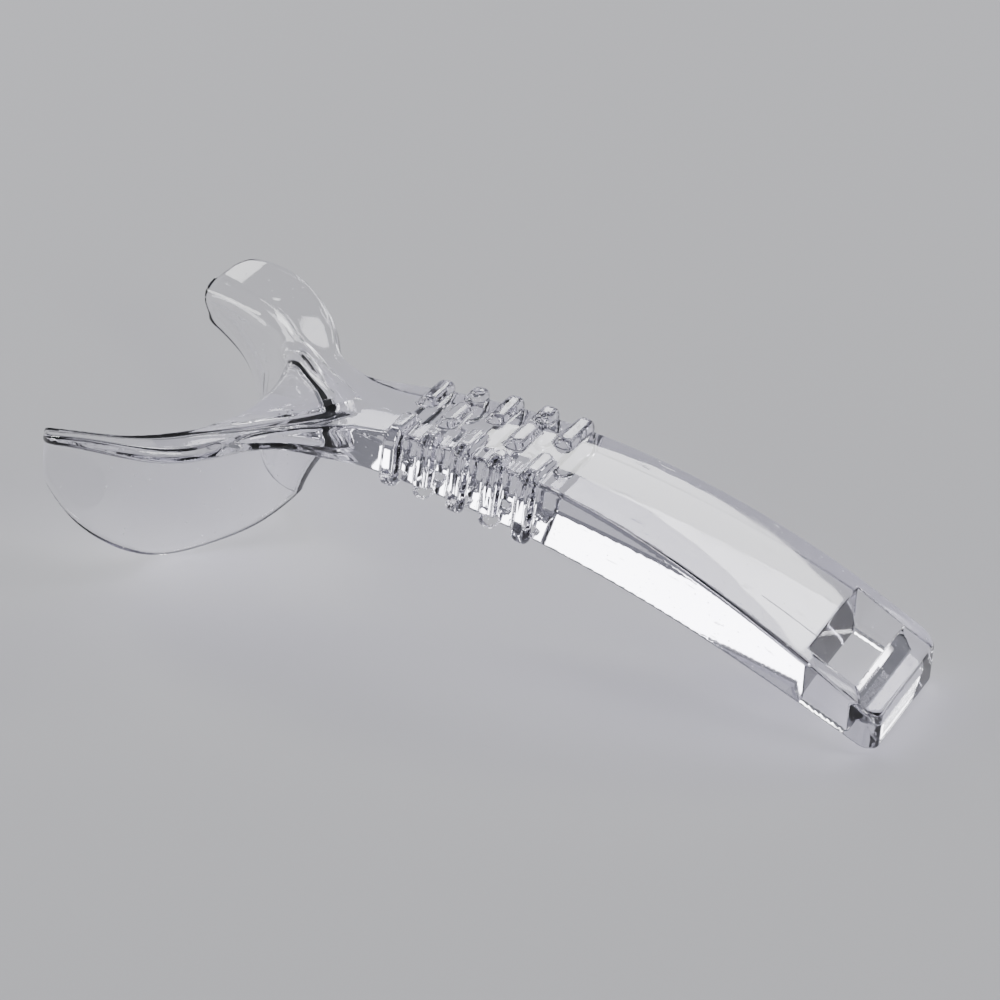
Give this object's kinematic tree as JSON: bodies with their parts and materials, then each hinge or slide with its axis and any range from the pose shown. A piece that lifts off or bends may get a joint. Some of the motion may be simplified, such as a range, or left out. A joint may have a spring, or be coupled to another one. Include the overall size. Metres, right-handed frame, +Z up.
{
  "type": "cheek retractor",
  "caption": "Hand-held dental cheek and lip retractor, clear plastic, with an arched ribbed handle, a slotted tail and a forked head of thin curved blades under a flange.",
  "frame": {"origin": "middle of the bounding box in X and Y, at the surface the retractor lies on", "axes": "+X from the fork to the tail of the handle, +Y to the left wing, +Z up, the way the mould opens"},
  "size_m": [0.1254, 0.0628, 0.0278],
  "materials": {
    "clear_plastic": "polished clear polycarbonate with a faint cool violet tint"
  },
  "bodies": {
    "root": {"end_bar": "clear_plastic", "slot_rail_left": "clear_plastic", "slot_rail_right": "clear_plastic", "handle_shaft": "clear_plastic", "grip_core": "clear_plastic", "grip_rib_row_1": "clear_plastic", "grip_rib_row_2": "clear_plastic", "grip_rib_row_3": "clear_plastic", "grip_rib_row_4": "clear_plastic", "grip_rib_row_5": "clear_plastic", "neck": "clear_plastic", "yoke": "clear_plastic", "keel": "clear_plastic", "left_flange": "clear_plastic", "right_flange": "clear_plastic", "left_blade": "clear_plastic", "right_blade": "clear_plastic"}
  },
  "joints": []
}
